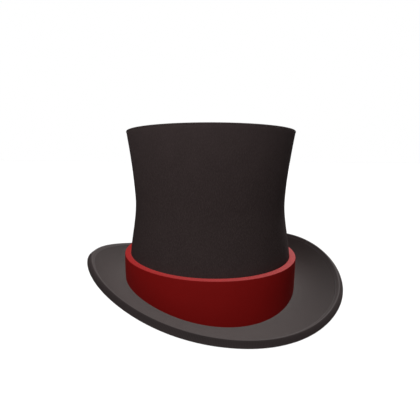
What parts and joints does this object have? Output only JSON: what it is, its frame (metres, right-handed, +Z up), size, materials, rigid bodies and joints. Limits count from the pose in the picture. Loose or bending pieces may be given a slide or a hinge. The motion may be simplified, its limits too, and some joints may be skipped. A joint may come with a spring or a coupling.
{
  "type": "top hat",
  "caption": "Stiff magician's top hat with a waisted crown, a curled brim, a wide padded band, a leather sweatband and a satin lining; stands on its brim.",
  "frame": {"origin": "on the ground under the middle of the hat: the centre of its box seen from above, at the lowest points of the brim's underside, which are at the front and the back", "axes": "+Z up along the crown; -Y towards the hat's front; +X towards the wearer's left"},
  "size_m": [0.287, 0.3193, 0.193],
  "materials": {
    "crown_felt": "brushed dark felt",
    "brim_felt": "close grey-brown felt",
    "under_felt": "close dark felt",
    "binding": "ribbed ribbon",
    "band": "red ribbed ribbon",
    "padding": "matte wadding",
    "goss": "shellac-stiffened cloth",
    "leather": "smooth thin leather",
    "reed": "dark ribbon",
    "satin": "dark red satin",
    "wire": "plain steel wire",
    "card": "matte card"
  },
  "bodies": {
    "root": {"crown_shell": "goss", "tip_board": "goss", "crown_cover": "crown_felt", "tip_cover": "crown_felt", "tip_lining": "satin", "lining_piping": "satin", "side_lining": "satin", "brim_flange": "goss", "brim_top_cover": "brim_felt", "brim_board": "goss", "brim_under_cover": "under_felt", "brim_wire": "wire", "brim_binding": "binding", "hatband_core": "padding", "hatband_ribbon": "band", "hatband_tab": "band", "sweatband": "leather", "sweatband_reed": "reed", "size_ticket": "card", "sweatband_bow": "reed"}
  },
  "joints": []
}
